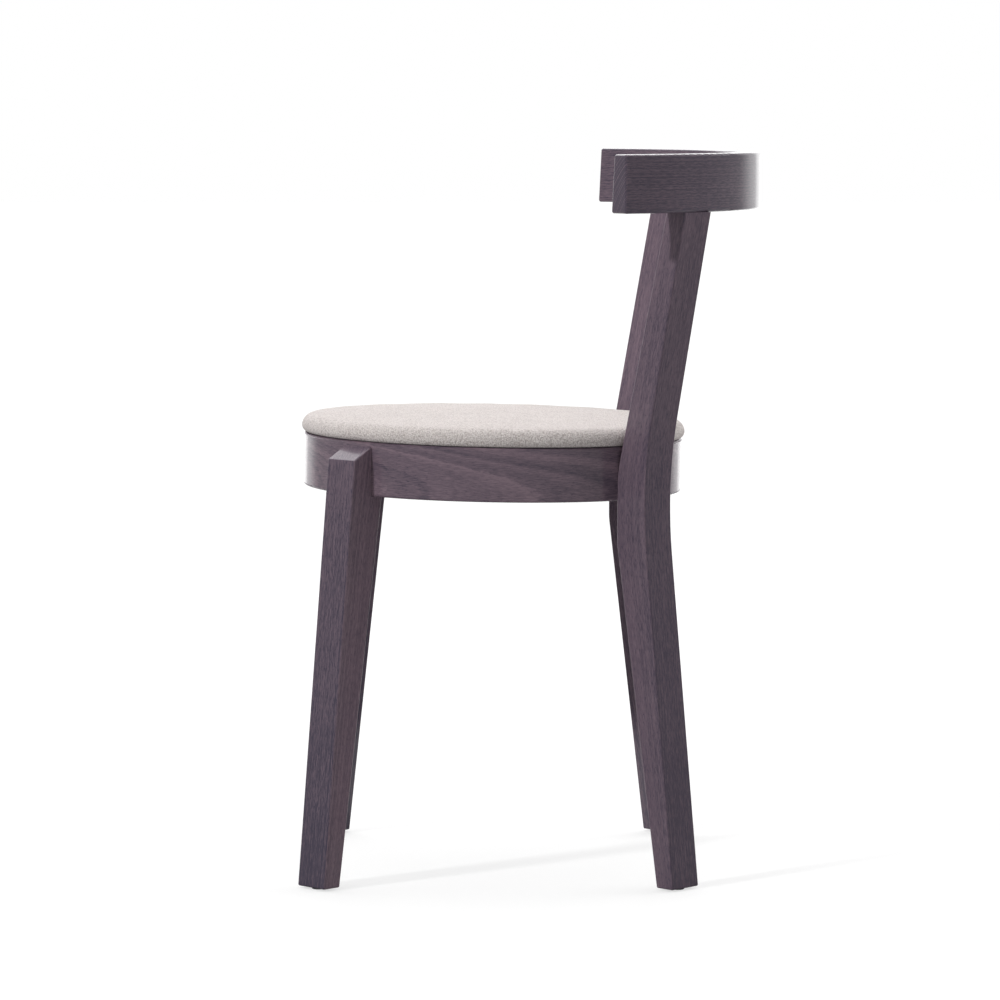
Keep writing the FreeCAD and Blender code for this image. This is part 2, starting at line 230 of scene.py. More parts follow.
def seen_share(shade, place):
    """How white the studio looks to a ray: 1 for camera and transmission rays, 0 for those that light.

    Glossy rays see white towards the backdrop, on -X, and a dim room elsewhere.
    """
    path = shade.node("ShaderNodeLightPath", {}, {}).socket.node.outputs
    camera_ray, glossy_ray, clear_ray = [
        Shade(shade.tree, path[name]) for name in ("Is Camera Ray", "Is Glossy Ray", "Is Transmission Ray")
    ]
    x, y, _ = three_parts(shade, place)
    toward_back = (0 - x) / shade.math("SQRT", x * x + y * y + NOT_ZERO)
    backdrop = toward_back.ramped(BACKDROP_FROM, BACKDROP_FULL) * (1 - ROOM_DIM) + ROOM_DIM
    return shade.math("MINIMUM", camera_ray + glossy_ray * backdrop + clear_ray, 1.0)


world = bpy.data.worlds.new("studio")
scene.world = world
world.use_nodes = True
world_shade = Shade(world.node_tree)
background = next(node for node in world.node_tree.nodes if node.type == "BACKGROUND")
background.inputs["Color"].default_value = rgb(1, 1, 1)
world_way = world_shade.node("ShaderNodeTexCoord", {}, {}, out=0)
strength = world_shade.math("MAXIMUM", seen_share(world_shade, world_way), FILL)
world.node_tree.links.new(strength.socket, background.inputs["Strength"])
scene.view_settings.view_transform = "Standard"
print("world is ready, its light is", FILL)

# %% [markdown]
# The key light comes from the camera's side, in front of the sitter, where the shadow on the near back post
# shows it to be. A wide soft light from above lifts the pad's top, and another from behind the sitter lights
# the backs of the legs. These three are suns, so the whole floor is lit evenly and runs into the background
# without an edge. A large lamp by the backdrop brightens the edges that turn away from the camera.

# %% Lamps
KEY_FROM = Vector((0.50, -0.67, 0.55))
KEY_STRENGTH = 1.40
KEY_ANGLE = math.radians(4.5)
TOP_FROM = Vector((-0.48, -0.06, 0.80))
TOP_STRENGTH = 2.26
TOP_ANGLE = math.radians(84)
REAR_FROM = Vector((-0.35, 0.85, 0.25))
REAR_STRENGTH = 1.3
REAR_ANGLE = math.radians(50)
BACK_POWER = 14.0
BACK_SIZE = 2.8
BACK_FROM = Vector((-2.6, 0.0, 0.9))
BACK_TO = Vector((0.0, 0.0, 0.5))


def sun(name, toward, power, angle):
    """A sun in the direction toward."""
    data = bpy.data.lights.new(name, "SUN")
    data.energy = power
    data.angle = angle
    lamp = bpy.data.objects.new(name, data)
    lamp.rotation_euler = (-toward).to_track_quat("-Z", "Y").to_euler()
    scene.collection.objects.link(lamp)
    return lamp


key = sun("key", KEY_FROM, KEY_STRENGTH, KEY_ANGLE)
key.visible_glossy = False
sun("top", TOP_FROM, TOP_STRENGTH, TOP_ANGLE)
rear = sun("rear", REAR_FROM, REAR_STRENGTH, REAR_ANGLE)
rear.visible_glossy = False
back_data = bpy.data.lights.new("back", "AREA")
back_data.energy = BACK_POWER
back_data.size = BACK_SIZE
back = bpy.data.objects.new("back", back_data)
back.location = BACK_FROM
back.rotation_euler = (BACK_TO - BACK_FROM).to_track_quat("-Z", "Y").to_euler()
scene.collection.objects.link(back)

# %% [markdown]
# The floor glows to the camera, so that it is as white as the background, and the chair's shadow stays on it
# as a pale grey. In reflections it is dimmer, except towards the backdrop.

# %% Floor
FLOOR_GLOW = 0.64
FLOOR_COLOUR = rgb(0.36, 0.36, 0.36)
FLOOR_MIRRORED = rgb(0.12, 0.12, 0.12)
FLOOR_HALF = 30.0

floor_mesh = bpy.data.meshes.new("floor")
corners = [(x * FLOOR_HALF, y * FLOOR_HALF, 0) for x, y in ((-1, -1), (1, -1), (1, 1), (-1, 1))]
floor_mesh.from_pydata(corners, [], [(0, 1, 2, 3)])
floor = bpy.data.objects.new("floor", floor_mesh)
scene.collection.objects.link(floor)
floor_paint, floor_shader, floor_shade = new_finish("floor_paint")
floor_rays = floor_shade.node("ShaderNodeLightPath", {}, {}).socket.node.outputs
floor_place = floor_shade.node("ShaderNodeTexCoord", {}, {}, out="Object")
floor_seen = seen_share(floor_shade, floor_place)
mirrored = Shade(floor_shade.tree, floor_rays["Is Glossy Ray"]) * (1 - floor_seen)
floor_grey = floor_shade.mixed(mirrored, FLOOR_COLOUR, FLOOR_MIRRORED)
feed(floor_shader, {"Base Color": floor_grey}, {"Roughness": 1.0, "Specular IOR Level": 0.0})
glow = floor_shade.node("ShaderNodeEmission", {}, {"Strength": floor_seen * FLOOR_GLOW})
matt = Shade(floor_shade.tree, floor_shader.outputs[0])
both = floor_shade.node("ShaderNodeAddShader", {}, {0: matt, 1: glow})
floor_end = next(node for node in floor_shade.tree.nodes if node.type == "OUTPUT_MATERIAL")
floor_shade.tree.links.new(both.socket, floor_end.inputs["Surface"])
floor_mesh.materials.append(floor_paint)
print("floor is in place, half its width is", FLOOR_HALF)

# %% [markdown]
# Wood is a solid thing: its growth rings run right through a piece, and each face cuts them another way.
# So the finish works in three numbers for each piece: how far along the grain a point is, how far across
# the face, and how deep. Growth rings are tubes round a heart that lies outside the piece. Where the heart
# leans a little against the piece, a face shows arches, and where it doesn't, fine straight lines.
# Within a ring there are thinner growth lines. Beech also has fine pores, and short dark flecks along the
# grain. A dark stain and a satin varnish cover it.

# %% Stained and plain wood
STAIN_DARK = rgb(0.086, 0.067, 0.096)
STAIN_LIGHT = rgb(0.250, 0.178, 0.216)
STAIN = (STAIN_DARK, STAIN_LIGHT)
BEECH = (rgb(0.42, 0.25, 0.14), rgb(0.62, 0.43, 0.27))
WOOD_TONE = 0.15
PORE_TONE = 0.50
LINE_TONE = 0.09
PATCH_TONE = 0.13
FLECK_TONE = 0.32
THIN_TONE = 0.4
LATE_EVERY = 3.1
THIN_EVERY = 0.6
CUT_FROM = 0.0012
CUT_FULL = 0.0002
CUT_FIGURE = 0.9
CUT_DARK = 0.80


def wood_finish(name, grain, heart, lean, wander, pitch, tones, varnish, figure=0.32, lift=0.0,
                shade_drift=(0, 0), cut_at=None, faces=None, late_tone=-0.7):
    """Wood with its own run of grain.

    grain turns a place into along, across and deep. heart is where the growth rings' middle lies from the
    piece's own middle, lean how it slopes along the piece, wander how far it strays, and pitch the width of
    a ring. tones are the dark and light colours, and varnish the coat's weight. figure is how strongly the
    growth rings show, late_tone how light the end of each ring is, and lift how light the board is. The
    drift numbers paint shade: the wood gets lighter by so much for each metre across and deep. faces paints
    shade face by face, by how each face turns and how high it is, and cut_at is how far along the grain the
    cut ends are.
    """
    material, shader, shade = new_finish(name)
    x, y, z = object_place(shade)
    along, across, deep = grain(shade, x, y, z)

    def stretched(long_rate, cross_rate, detail, roughness=0.5):
        """Noise drawn out along the grain."""
        place = shade.vector(along * long_rate, across * cross_rate, deep * cross_rate)
        return shade.noise(place, detail, roughness)

    stray = (stretched(5.0, 9.0, 1.0) - 0.5) * (2 * wander)
    ragged = stretched(90.0, 260.0, 2.0, 0.6)
    pores = stretched(110.0, 1050.0, 3.0, 0.6).ramped(0.3, 0.7)
    lines = stretched(7.0, 380.0, 2.0, 0.6).ramped(0.3, 0.7)
    flecks = stretched(240.0, 1300.0, 1.0).ramped(0.60, 0.70)
    patches = stretched(11.0, 34.0, 2.0).ramped(0.3, 0.7)

    away = across - heart[0] + stray
    under = deep - heart[1] + along * lean + stray * 0.6
    reach = shade.math("SQRT", away * away + under * under) + (ragged - 0.5) * (pitch * 0.5)
    layers = shade.node(
        "ShaderNodeTexNoise", {"noise_dimensions": "1D"},
        {"W": reach / pitch, "Scale": 1.0, "Detail": 3.0, "Roughness": 0.6},
    ).ramped(0.28, 0.72)
    late = shade.math("FRACT", reach / (pitch * LATE_EVERY)) ** 5.0
    thin = shade.math("FRACT", reach / (pitch * THIN_EVERY)) ** 2.0

    tone = (layers - 0.5) * figure + (lift + WOOD_TONE)
    tone = tone + pores * PORE_TONE + lines * LINE_TONE + patches * PATCH_TONE - flecks * FLECK_TONE
    tone = tone + late * (figure * late_tone) - thin * (figure * THIN_TONE)
    # Painted shade that changes across the piece and through its depth.
    tone = tone + across * shade_drift[0] + deep * shade_drift[1]
    # Painted shade: each face lighter or darker by how it turns and by its height.
    if faces:
        tone = tone + faces(shade, z)
    if cut_at:
        cut = shade.math("ABSOLUTE", along).ramped(cut_at - CUT_FROM, cut_at - CUT_FULL)
        tone = tone + cut * (layers * CUT_FIGURE - CUT_DARK)
    relief = pores * 0.5 - flecks * 0.5 - late * 0.3
    feed(
        shader,
        {
            "Base Color": shade.mixed(tone, *tones),
            "Roughness": 0.46 + pores * 0.10 - late * 0.05,
            "Normal": bump(shade, relief, 0.20, 0.00020),
        },
        {"Specular IOR Level": 0.05, "Coat Weight": varnish, "Coat Roughness": 0.13, "Coat IOR": 1.5},
    )
    return material


def paint(node, material):
    """Give one CAD node a finish."""
    slots = nodes[node].data.materials
    slots.clear()
    slots.append(material)


print("wood is ready")

# %% [markdown]
# A leg's grain runs up the leg. The front legs are straight, and the rear legs bend at the seat, so each
# has a middle line r(z) in its own upright plane, and "deep" is measured from that line. Shade is painted
# into each leg's colour face by face: the faces that look out or in are darkest near the floor and lighten
# with height, and on the front legs the faces that look sideways are set lighter. The rear legs also get a
# painted shade that darkens them towards their outer side.

# %% Legs
LEG_AZIMUTH = math.radians(45)
FEET_BEHIND_SEAT = 0.003

front_foot_low, front_foot_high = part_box("foot_glide_front_left")
rear_foot_low, rear_foot_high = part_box("foot_glide_rear_left")
FRONT_FOOT_X = (front_foot_low.x + front_foot_high.x) / 2
REAR_FOOT_X = (rear_foot_low.x + rear_foot_high.x) / 2
FEET_MIDDLE_Y = (front_foot_low.y + front_foot_high.y) / 2 + FRONT_FOOT_X
FRONT_LEAN = -0.128
REAR_LEAN = -0.145
POST_LEAN = 0.232
POST_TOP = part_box("rear_leg_left")[1].z
POST_TOP_R = 0.2775
BEND_SOFTNESS = 0.03
# Painted shade on the legs: through the wood's depth, and face by face with height.
LEG_SHADE_DRIFT = {"front": (0, 0), "rear": (0, -4.0)}
SIDE_FACE_PAINTED_LIFT = {"front": 0.15, "rear": 0.0}
OUT_FACE_PAINTED_SHADE = {"front": -0.51, "rear": -0.24}
OUT_SHADE_RISE_RATE = {"front": 0.80, "rear": 0.50}
LEG_VARNISH = 0.6
LEG_STAIN = {"front": (rgb(0.066, 0.055, 0.083), STAIN_LIGHT), "rear": STAIN}
LEG_FIGURE = 0.22
LEG_LIFT = {"front": 0.12, "rear": -0.10}
SIDEWAYS_FROM = 0.5
SIDEWAYS_FULL = 0.85
SIDE_SHIFT = 0.37
END_SHIFT = 0.81


def leg_grain(side, end):
    """Along, across and deep for one leg; side is 1 for the left, end is -1 for the front."""

    def grain(shade, x, y, z):
        out_x = side * math.cos(LEG_AZIMUTH)
        out_y = end * math.sin(LEG_AZIMUTH)
        level_y = y - FEET_MIDDLE_Y
        r = x * out_x + level_y * out_y
        across = level_y * out_x - x * out_y
        if end < 0:
            middle = z * FRONT_LEAN + FRONT_FOOT_X / math.cos(LEG_AZIMUTH)
        else:
            lower = z * REAR_LEAN + REAR_FOOT_X / math.cos(LEG_AZIMUTH)
            upper = (z - POST_TOP) * POST_LEAN + POST_TOP_R
            middle = shade.math("SMOOTH_MAX", lower, upper, BEND_SOFTNESS)
        return z + side * SIDE_SHIFT + end * END_SHIFT, across, r - middle

    return grain


def leg_painted_face_shade(side, end, side_shade_lift, out_shade_lift, out_shade_rise):
    """Painted shade on a leg's faces: out or in faces darkest near the floor, sideways faces set apart."""

    def lighter(shade, z):
        normal = shade.node("ShaderNodeTexCoord", {}, {}, out="Normal")
        nx, ny, _ = three_parts(shade, normal)
        across = ny * (side * math.cos(LEG_AZIMUTH)) - nx * (end * math.sin(LEG_AZIMUTH))
        sideways = shade.math("ABSOLUTE", across).ramped(SIDEWAYS_FROM, SIDEWAYS_FULL)
        return sideways * side_shade_lift + (1 - sideways) * (z * out_shade_rise + out_shade_lift)

    return lighter


for side_name, side in (("left", 1), ("right", -1)):
    for end_name, end in (("front", -1), ("rear", 1)):
        leg_name = f"{end_name}_leg_{side_name}"
        finish = wood_finish(
            f"stained_{leg_name}", leg_grain(side, end), heart=(-0.05 * side, 0.045), lean=0.012 * side,
            wander=0.004, pitch=0.0022, tones=LEG_STAIN[end_name], varnish=LEG_VARNISH, figure=LEG_FIGURE,
            lift=LEG_LIFT[end_name], shade_drift=LEG_SHADE_DRIFT[end_name],
            faces=leg_painted_face_shade(side, end, SIDE_FACE_PAINTED_LIFT[end_name], OUT_FACE_PAINTED_SHADE[end_name], OUT_SHADE_RISE_RATE[end_name]),
        )
        paint(leg_name, finish)
        print("finished", leg_name)

# %% [markdown]
# The ring and the band are bent from straight boards, so their grain runs round them. The ring is one board
# whose ends meet at the back, where a faint joint shows. It was sawn flat, which gives the flowing arches.
# The band's board was sawn at an angle: its faces show fine level lines, and its cut ends show them slanting.

# %% Ring and band
RING_R = 0.200
band_low, band_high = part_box("backrest_band")
BAND_R = 0.322
BAND_MIDDLE_Y = band_high.y - BAND_R
BAND_HALF_TURN = math.radians(57.8)
BAND_END = BAND_R * BAND_HALF_TURN
BAND_MIDDLE_Z = (band_low.z + band_high.z) / 2
RING_MIDDLE_Z = -0.028


def ring_grain(shade, x, y, z):
    level_y = y - SEAT.translation.y
    r = shade.math("SQRT", x * x + level_y * level_y)
    turn = shade.math("ARCTAN2", x, 0 - level_y)
    height = z - (SEAT.translation.z + RING_MIDDLE_Z) + level_y * math.tan(SEAT_TILT)
    return turn * RING_R, height, r - RING_R


def band_grain(shade, x, y, z):
    level_y = y - BAND_MIDDLE_Y
    r = shade.math("SQRT", x * x + level_y * level_y)
    turn = shade.math("ARCTAN2", x, level_y)
    return turn * BAND_R, z - BAND_MIDDLE_Z, r - BAND_R


ring_finish = wood_finish(
    "stained_seat_ring", ring_grain, heart=(-0.020, -0.060), lean=0.067, wander=0.0030, pitch=0.0034,
    tones=STAIN, varnish=1.0, figure=0.40, lift=0.06, late_tone=0.6,
)
paint("seat_ring", ring_finish)
# The band's drift paints shade: its inner face lighter and its outer face darker.
band_finish = wood_finish(
    "stained_backrest_band", band_grain, heart=(-0.08, 0.08), lean=0.002, wander=0.0015, pitch=0.0013,
    tones=STAIN, varnish=1.0, lift=-0.27, shade_drift=(0, -8.0), cut_at=BAND_END,
)
paint("backrest_band", band_finish)
print("finished ring and band")

# %% [markdown]
# The cleats and dowels are plain beech, and the seat board is plywood, whose layers lie level.

# %% Plain wood
PLY_SQUEEZE = 4.0


def level_grain(shade, x, y, z):
    return x, y, z


def ply_grain(shade, x, y, z):
    return x, z * PLY_SQUEEZE, y


plain_finish = wood_finish(
    "plain_beech", level_grain, heart=(0.06, 0.5), lean=0.02, wander=0.004, pitch=0.0030,
    tones=BEECH, varnish=0.0,
)
for node in ("seat_cleat_left", "seat_cleat_right", "seat_cleat_front", "seat_cleat_rear", "back_dowels"):
    paint(node, plain_finish)
ply_finish = wood_finish(
    "plywood", ply_grain, heart=(0.3, 0.2), lean=0.0, wander=0.001, pitch=0.0060,
    tones=BEECH, varnish=0.0,
)
paint("seat_board", ply_finish)
print("finished cleats, dowels and board")

# %% [markdown]
# The pad is a thin round cushion on a board. Its cover is drawn over a rounded edge and turned in under the
# board as a hem. The outer face is made as a turned form, with a slightly sunk top and its underside held,
# and a cloth simulation with a little air pressure fills it out. The hem and the inner faces, which nothing
# moves, are added to the same mesh afterwards, so the pad is one closed piece.

# %% The pad's outline
PAD_R = 0.203
PAD_WIDEST = 0.0065
PAD_SHOULDER = 0.0138
PAD_CROWN = 0.0238
HEM_R = 0.168
BOARD_R = 0.194
TURNS = 160
CROWN_STEPS = 26
SHOULDER_STEPS = 8
UNDER_STEPS = 4
START_LOWER = 0.0010


def pad_outline(lower):
    """(r, z) points from the middle of the top, over the edge, to where the cloth turns under.

    lower sinks the top by that much, and the sides by less and less towards the widest ring.
    """
    rise = PAD_CROWN - PAD_WIDEST
    side_r = PAD_R - PAD_SHOULDER
    crown_r = (side_r ** 2 + rise ** 2 - PAD_SHOULDER ** 2) / (2 * (rise - PAD_SHOULDER))
    edge_angle = math.atan2(side_r, PAD_WIDEST - PAD_CROWN + crown_r)
    points = []
    for i in range(1, CROWN_STEPS + 1):
        angle = edge_angle * i / CROWN_STEPS
        points.append((crown_r * math.sin(angle), PAD_CROWN - crown_r + crown_r * math.cos(angle) - lower))
    for i in range(1, SHOULDER_STEPS + 1):
        angle = edge_angle + (math.pi / 2 - edge_angle) * i / SHOULDER_STEPS
        sunk = lower * (1 - i / SHOULDER_STEPS)
        r = side_r + PAD_SHOULDER * math.sin(angle)
        points.append((r, PAD_WIDEST + PAD_SHOULDER * math.cos(angle) - sunk))
    for i in range(1, UNDER_STEPS + 1):
        angle = math.pi / 2 * i / UNDER_STEPS
        points.append((PAD_R - PAD_WIDEST * (1 - math.cos(angle)), PAD_WIDEST * (1 - math.sin(angle))))
    return points


def ring_point(r, k, turns, z):
    """Point number k of a ring of that many turns about Z."""
    angle = 2 * math.pi * k / turns
    return (r * math.cos(angle), r * math.sin(angle), z)


def turned_mesh(name, outline, middle_z, close_z):
    """A closed mesh of the outline turned about Z, with a middle point on its top and on its underside."""
    places = [(0, 0, middle_z)]
    for r, z in outline:
        places += [ring_point(r, k, TURNS, z) for k in range(TURNS)]
    places.append((0, 0, close_z))
    faces = [(0, 1 + k, 1 + (k + 1) % TURNS) for k in range(TURNS)]
    for i in range(len(outline) - 1):
        first = 1 + i * TURNS
        for k in range(TURNS):
            after = (k + 1) % TURNS
            faces.append((first + k, first + TURNS + k, first + TURNS + after, first + after))
    last = 1 + (len(outline) - 1) * TURNS
    faces += [(len(places) - 1, last + (k + 1) % TURNS, last + k) for k in range(TURNS)]
    mesh = bpy.data.meshes.new(name)
    mesh.from_pydata(places, [], faces)
    return mesh


outer = pad_outline(0)
print("pad outline points:", len(outer))

# %% [markdown]
# The simulation runs on a copy. The points up to the widest ring are pinned, and the air pressure is low, so
# the cloth rises by a millimetre or two and the pad keeps its outline. A limit of two millimetres guards
# against a run that swells more, and the cell prints how many points it held back.

# %% Filling out the pad
SIM_FRAMES = 40
SIM_PRESSURE = 0.20
MOST_MOVE = 0.0020
PIN_PLAY = 1e-5


def filled_places():
    """Places of the pad's outer points after the cloth simulation."""
    small = pad_outline(START_LOWER)
    mesh = turned_mesh("pad_trial", small, PAD_CROWN - START_LOWER, 0.0)
    trial = bpy.data.objects.new("pad_trial", mesh)
    scene.collection.objects.link(trial)
    pins = trial.vertex_groups.new(name="held")
    held = [vertex.index for vertex in mesh.vertices if vertex.co.z <= PAD_WIDEST + PIN_PLAY]
    pins.add(held, 1.0, "REPLACE")
    cloth = trial.modifiers.new("cloth", "CLOTH")
    cloth.settings.quality = 6
    cloth.settings.mass = 0.25
    cloth.settings.tension_stiffness = 20
    cloth.settings.compression_stiffness = 20
    cloth.settings.bending_stiffness = 4
    cloth.settings.use_pressure = True
    cloth.settings.uniform_pressure_force = SIM_PRESSURE
    cloth.settings.vertex_group_mass = "held"
    cloth.settings.effector_weights.gravity = 0
    cloth.point_cache.frame_start = 1
    cloth.point_cache.frame_end = SIM_FRAMES
    for number in range(1, SIM_FRAMES + 1):
        scene.frame_set(number)
    shaped = trial.evaluated_get(bpy.context.evaluated_depsgraph_get())
    result = [vertex.co.copy() for vertex in shaped.data.vertices]
    scene.frame_set(1)
    bpy.data.objects.remove(trial)
    bpy.data.meshes.remove(mesh)
    return result


pad_mesh = turned_mesh("seat_pad", outer, PAD_CROWN, 0.0)
largest = 0.0
raised = 0.0
held_back = 0
for vertex, place in zip(pad_mesh.vertices, filled_places()):
    move = place - vertex.co
    largest = max(largest, move.length)
    raised += move.z / len(pad_mesh.vertices)
    if move.length > MOST_MOVE:
        move *= MOST_MOVE / move.length
        held_back += 1
    vertex.co += move
print("cloth against the drawn form, mm: largest", round(largest * 1000, 2))
print("mean rise, mm:", round(raised * 1000, 2), "points held back:", held_back)

# %% [markdown]
# The last rings of points run along the hem, up its cut edge, along the underside of the board, up the
# board's edge and over its top. The hem is gathered into small puckers.

# %% Closing the pad
HEM_PUCKERS = 72
HEM_PUCKER_DEEP = 0.0004
PUCKERS_FROM = 0.165
PUCKERS_TO = 0.178
PUCKER_UNEVEN = 1.3
PUCKER_GROUPS = 5
HEM_RINGS = (0.1900, 0.1810, 0.1740)
BOARD_TOP_RING = 0.100
BOARD_TOP = COVER_T + BOARD_T

inside = [(r, 0.0) for r in HEM_RINGS] + [
    (HEM_R, 0.0), (HEM_R, COVER_T), (BOARD_R, COVER_T), (BOARD_R, BOARD_TOP), (BOARD_TOP_RING, BOARD_TOP),
]
work = bmesh.new()
work.from_mesh(pad_mesh)
work.verts.ensure_lookup_table()
close_point = work.verts[-1]
last_ring = [work.verts[1 + (len(outer) - 1) * TURNS + k] for k in range(TURNS)]
bmesh.ops.delete(work, geom=[close_point], context="VERTS")
for r, z in inside:
    ring = []
    for k in range(TURNS):
        angle = 2 * math.pi * k / TURNS
        gather = 0.0
        if PUCKERS_FROM < r < PUCKERS_TO:
            uneven = PUCKER_UNEVEN * math.sin(PUCKER_GROUPS * angle)
            gather = HEM_PUCKER_DEEP * math.sin(HEM_PUCKERS * angle + uneven)
        ring.append(work.verts.new(ring_point(r, k, TURNS, z + gather)))
    for k in range(TURNS):
        after = (k + 1) % TURNS
        work.faces.new((last_ring[k], ring[k], ring[after], last_ring[after]))
    last_ring = ring
middle = work.verts.new((0, 0, BOARD_TOP))
for k in range(TURNS):
    work.faces.new((last_ring[k], middle, last_ring[(k + 1) % TURNS]))
bmesh.ops.recalc_face_normals(work, faces=work.faces[:])
print("pad points:", len(work.verts))

# %% [markdown]
# A UV map lays the cloth out flat from the middle, measured along the surface, so that the weave runs
# straight over the top and down the sides.

# %% Laying the cloth out flat
TINY = 1e-6

travelled = 0.0
before = (0.0, PAD_CROWN)
ring_lengths = [0.0]
for r, z in outer + inside + [(0.0, BOARD_TOP)]:
    travelled += math.dist(before, (r, z))
    before = (r, z)
    ring_lengths.append(travelled)
tuck_at = ring_lengths[len(outer)]
work.verts.index_update()
work.verts.ensure_lookup_table()
uv_layer = work.loops.layers.uv.new("cloth")
for face in work.faces:
    for loop in face.loops:
        index = loop.vert.index
        number = 0 if index == 0 else 1 + (index - 1) // TURNS
        spread = ring_lengths[min(number, len(ring_lengths) - 1)]
        flat = Vector((loop.vert.co.x, loop.vert.co.y))
        if flat.length > TINY:
            flat = flat.normalized() * spread
        loop[uv_layer].uv = flat
    face.smooth = True
work.to_mesh(pad_mesh)
work.free()
pad_mesh.transform(SEAT)
pad = bpy.data.objects.new("seat_pad", pad_mesh)
scene.collection.objects.link(pad)
rounding = pad.modifiers.new("rounding", "SUBSURF")
rounding.levels = 1
rounding.render_levels = 1
print("pad faces:", len(pad_mesh.polygons))

# %% [markdown]
# The cover is a fine wool-like weave, pale greige with lighter and darker fibres mixed in the yarn. It
# repeats in about a millimetre and a half, so from the camera it reads as a speckle. Its relief is small
# knots with two crossing waves on them, and its colour wanders from yarn to yarn. A painted shade darkens
# the cloth in the crease where it turns in under the pad's edge, and the hem beyond is pale again.

# %% Cover cloth
YARN = 0.0016
KNOT = 0.0017
CLOTH_DARK = rgb(0.42, 0.364, 0.350)
CLOTH_LIGHT = rgb(0.94, 0.880, 0.854)
CLOTH_CREASE_SHADE = rgb(0.16, 0.145, 0.150)
CREASE_SHADE_FADE = 0.0048
FIBRE_TONE = 0.90
YARN_TONE = 0.50
KNOT_TONE = 0.55
WEAVE_TONE = 0.10
CLOUD_TONE = 0.12
CLOTH_BASE = 0.43

cloth_finish, cloth_shader, cloth = new_finish("cover_cloth")
laid = cloth.node("ShaderNodeUVMap", {"uv_map": "cloth"}, {})
u, v, _ = three_parts(cloth, laid)


def flat_noise(rate, level, detail, roughness=0.5):
    """Noise on the flat cloth; level picks another pattern."""
    return cloth.noise(cloth.vector(u * rate, v * rate, level), detail, roughness)


turn = 2 * math.pi / YARN
shake = (flat_noise(180.0, 0.0, 2.0) - 0.5) * 2.2
weave = (u * turn + shake).sine() * (v * turn + shake).sine() * 0.5 + 0.5
fibre = flat_noise(1250.0, 0.0, 3.0, 0.65)
yarn = flat_noise(640.0, 0.4, 2.0, 0.6)
cloud = flat_noise(40.0, 0.8, 2.0)
knot_place = cloth.vector(u / KNOT + shake * 0.05, v / KNOT - shake * 0.05, 0.0)
knot_sockets = {"Vector": knot_place, "Scale": 1.0, "Randomness": 0.8}
knots = 1 - cloth.node("ShaderNodeTexVoronoi", {}, knot_sockets) * 1.3
cloth_tone = fibre * FIBRE_TONE + yarn * YARN_TONE + knots * KNOT_TONE
cloth_tone = cloth_tone + weave * WEAVE_TONE + cloud * CLOUD_TONE - CLOTH_BASE
woven = cloth.mixed(cloth_tone.ramped(0.0, 1.0), CLOTH_DARK, CLOTH_LIGHT)
spread_out = cloth.math("SQRT", u * u + v * v)
# Painted shade in the crease where the cloth turns in under the pad's edge.
crease_shade_start = spread_out.ramped(tuck_at - CREASE_SHADE_FADE, tuck_at - CREASE_SHADE_FADE / 4)
crease_shade_end = spread_out.ramped(tuck_at + CREASE_SHADE_FADE, tuck_at + 3 * CREASE_SHADE_FADE)
feed(
    cloth_shader,
    {
        "Base Color": cloth.mixed(crease_shade_start * (1 - crease_shade_end), woven, CLOTH_CREASE_SHADE),
        "Normal": bump(cloth, knots + weave * 0.1 + fibre * 0.4, 1.0, 0.0009),
    },
    {"Roughness": 0.95, "Specular IOR Level": 0.15, "Sheen Weight": 0.20, "Sheen Roughness": 0.35},
)
pad_mesh.materials.append(cloth_finish)
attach(pad, "root")
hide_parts("seat_cover", "seat_foam")
print("cover cloth is on, tucked in at", round(tuck_at, 4))

# %% [markdown]
# A thin black cloth fills the opening that the hem leaves on the board's underside. It is stretched, but
# never quite flat: it hangs by a fraction of a millimetre in the middle and ripples a little at its rim.

# %% Underside lining
LINING_R = 0.1674
LINING_T = 0.0008
LINING_TURNS = 120
LINING_STEPS = 24
LINING_INNER = 0.012
LINING_GAP = 0.0003
LINING_SAG = 0.0003
LINING_RIPPLE = 0.00018
RIM_RIPPLES = 24

lining_rings = [LINING_INNER + (LINING_R - LINING_INNER) * i / LINING_STEPS for i in range(LINING_STEPS + 1)]
lining_places = [(0, 0, COVER_T - LINING_T - LINING_GAP - LINING_SAG)]
for r in lining_rings:
    for k in range(LINING_TURNS):
        angle = 2 * math.pi * k / LINING_TURNS
        share = r / LINING_R
        ripple = math.sin(RIM_RIPPLES * angle + 2 * math.sin(3 * angle)) * share ** 6
        ripple += 0.6 * math.sin(3 * angle + 9 * share) * math.sin(math.pi * share)
        drop = LINING_GAP + LINING_RIPPLE * ripple + LINING_SAG * (1 - share ** 2)
        lining_places.append(ring_point(r, k, LINING_TURNS, COVER_T - LINING_T - drop))
lining_faces = [(0, 1 + (k + 1) % LINING_TURNS, 1 + k) for k in range(LINING_TURNS)]
for i in range(len(lining_rings) - 1):
    first = 1 + i * LINING_TURNS
    for k in range(LINING_TURNS):
        after = (k + 1) % LINING_TURNS
        near = (first + k, first + after, first + LINING_TURNS + after, first + LINING_TURNS + k)
        lining_faces.append(near)
lining_mesh = bpy.data.meshes.new("seat_lining_cloth")
lining_mesh.from_pydata(lining_places, [], lining_faces)
lining_mesh.transform(SEAT)
lining_mesh.shade_smooth()
lining = bpy.data.objects.new("seat_lining_cloth", lining_mesh)
scene.collection.objects.link(lining)
thickness = lining.modifiers.new("thickness", "SOLIDIFY")
thickness.thickness = LINING_T * 0.5
thickness.offset = -1.0
print("lining faces:", len(lining_mesh.polygons))

# %% [markdown]
# The lining is a pressed fleece, nearly black, with a fine grid of dimples.

# %% Lining finish
LINING_DARK = rgb(0.016, 0.016, 0.018)
LINING_LIGHT = rgb(0.045, 0.045, 0.05)
DIMPLE_RATE = 2100.0

